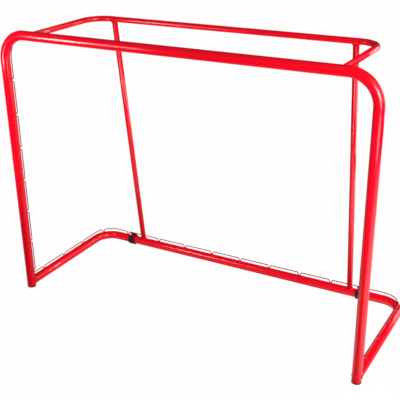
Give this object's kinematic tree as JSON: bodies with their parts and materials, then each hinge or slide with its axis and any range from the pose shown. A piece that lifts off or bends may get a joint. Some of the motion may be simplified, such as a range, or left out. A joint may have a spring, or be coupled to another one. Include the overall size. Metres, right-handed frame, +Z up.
{
  "type": "floorball goal frame",
  "caption": "Free-standing floorball goal frame of welded steel tube, with end caps, floor clips and crimped wire along the tubes to lace a net to.",
  "frame": {"origin": "centre of the bounding box in plan, on the floor", "axes": "+X to the right as a player sees it who looks into the mouth, +Y from the mouth to the rear, +Z up"},
  "size_m": [1.4732, 0.5856, 1.0855],
  "materials": {
    "red_powder_coat": "glossy red powder coat on steel tube",
    "red_coated_wire": "red coat on crimped steel wire",
    "black_plastic": "black injection-moulded plastic"
  },
  "bodies": {
    "root": {"front_frame_tube": "red_powder_coat", "top_frame_tube": "red_powder_coat", "base_frame_tube": "red_powder_coat", "left_rear_strut": "red_powder_coat", "right_rear_strut": "red_powder_coat", "left_base_weld": "red_powder_coat", "right_base_weld": "red_powder_coat", "left_top_weld": "red_powder_coat", "right_top_weld": "red_powder_coat", "left_strut_head_weld": "red_powder_coat", "right_strut_head_weld": "red_powder_coat", "left_strut_foot_weld": "red_powder_coat", "right_strut_foot_weld": "red_powder_coat", "left_post_net_wire": "red_coated_wire", "right_post_net_wire": "red_coated_wire", "crossbar_net_wire": "red_coated_wire", "left_base_net_wire": "red_coated_wire", "rear_base_net_wire": "red_coated_wire", "right_base_net_wire": "red_coated_wire", "left_floor_clip": "black_plastic", "right_floor_clip": "black_plastic", "left_post_end_cap": "black_plastic", "right_post_end_cap": "black_plastic"}
  },
  "joints": []
}
